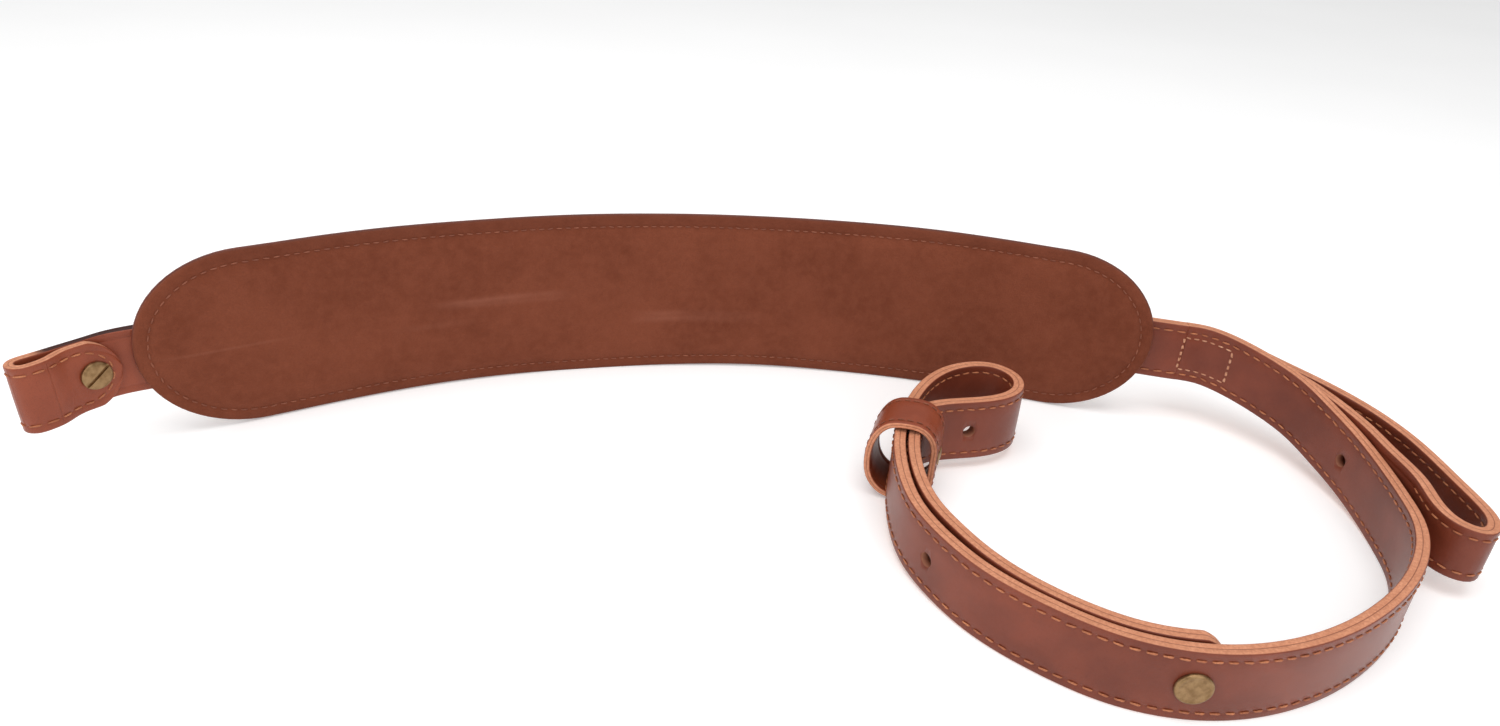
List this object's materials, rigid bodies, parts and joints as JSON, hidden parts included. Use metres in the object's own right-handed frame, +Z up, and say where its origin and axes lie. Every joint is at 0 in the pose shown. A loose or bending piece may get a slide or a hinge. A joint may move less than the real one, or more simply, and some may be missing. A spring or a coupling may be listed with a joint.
{
  "type": "padded leather carrying strap",
  "caption": "Padded leather shoulder strap: bent suede-lined pad, short screw-closed end strap, long strap doubled back through a keeper into an adjustable end loop.",
  "frame": {"origin": "middle of the whole part's footprint, on the surface it stands on", "axes": "+X from the short end strap towards the sling's end along the pad, +Y away from the pad's suede side, +Z up along the strap's width"},
  "size_m": [0.501, 0.2305, 0.072],
  "materials": {
    "suede": "napped suede",
    "foam": "soft closed-cell foam",
    "chestnut_grain": "polished grain, natural cut edges",
    "thread": "waxed",
    "antique_brass": "antiqued, satin"
  },
  "bodies": {
    "pad": {"pad_lining": "suede", "pad_foam": "foam", "pad_cover": "chestnut_grain", "pad_thread": "thread", "carrier_inner_ply": "chestnut_grain", "carrier_outer_ply": "chestnut_grain", "carrier_thread": "thread"},
    "end_strap": {"end_strap_outer_ply": "chestnut_grain", "end_strap_inner_ply": "chestnut_grain", "end_thread": "thread", "end_post": "antique_brass"},
    "end_flap": {"end_flap_outer_ply": "chestnut_grain", "end_flap_inner_ply": "chestnut_grain", "end_flap_thread": "thread"},
    "end_screw": {"end_screw": "antique_brass"},
    "sling": {"sling_inner_ply": "chestnut_grain", "sling_outer_ply": "chestnut_grain", "sling_thread": "thread", "tail_inner_ply": "chestnut_grain", "tail_outer_ply": "chestnut_grain", "tail_thread": "thread", "hand_loop_outer_ply": "chestnut_grain", "hand_loop_inner_ply": "chestnut_grain", "hand_loop_thread": "thread", "box_stitch": "thread", "sling_post": "antique_brass"},
    "keeper": {"keeper_lining": "chestnut_grain", "keeper_outer": "chestnut_grain", "keeper_thread": "thread", "keeper_rivet_caps": "antique_brass", "keeper_rivet_posts": "antique_brass"},
    "sling_screw": {"sling_screw": "antique_brass"}
  },
  "joints": [
    {"name": "left_swing", "type": "hinge", "parent": "pad", "child": "end_strap", "pos_m": [-0.22753, 0.05312, 0.0327], "axis": [0, 0, 1], "range_deg": [-15, 15]},
    {"name": "flap_open", "type": "hinge", "parent": "end_strap", "child": "end_flap", "pos_m": [-0.24128, 0.02829, 0.0327], "axis": [0, 0, -1], "range_deg": [0, 60]},
    {"name": "end_screw_turn", "type": "hinge", "parent": "end_flap", "child": "end_screw", "pos_m": [-0.23008, 0.04306, 0.0327], "axis": [0.7183, -0.6957, 0], "continuous": true},
    {"name": "right_swing", "type": "hinge", "parent": "pad", "child": "sling", "pos_m": [0.18288, 0.05397, 0.0327], "axis": [0, 0, 1], "range_deg": [-15, 15]},
    {"name": "keeper_slide", "type": "slide", "parent": "sling", "child": "keeper", "axis": [-0.4196, -0.9077, 0], "range_m": [0, 0.008]},
    {"name": "sling_screw_turn", "type": "hinge", "parent": "sling", "child": "sling_screw", "pos_m": [0.11342, -0.10297, 0.0127], "axis": [-0.2055, -0.9787, 0], "continuous": true}
  ]
}
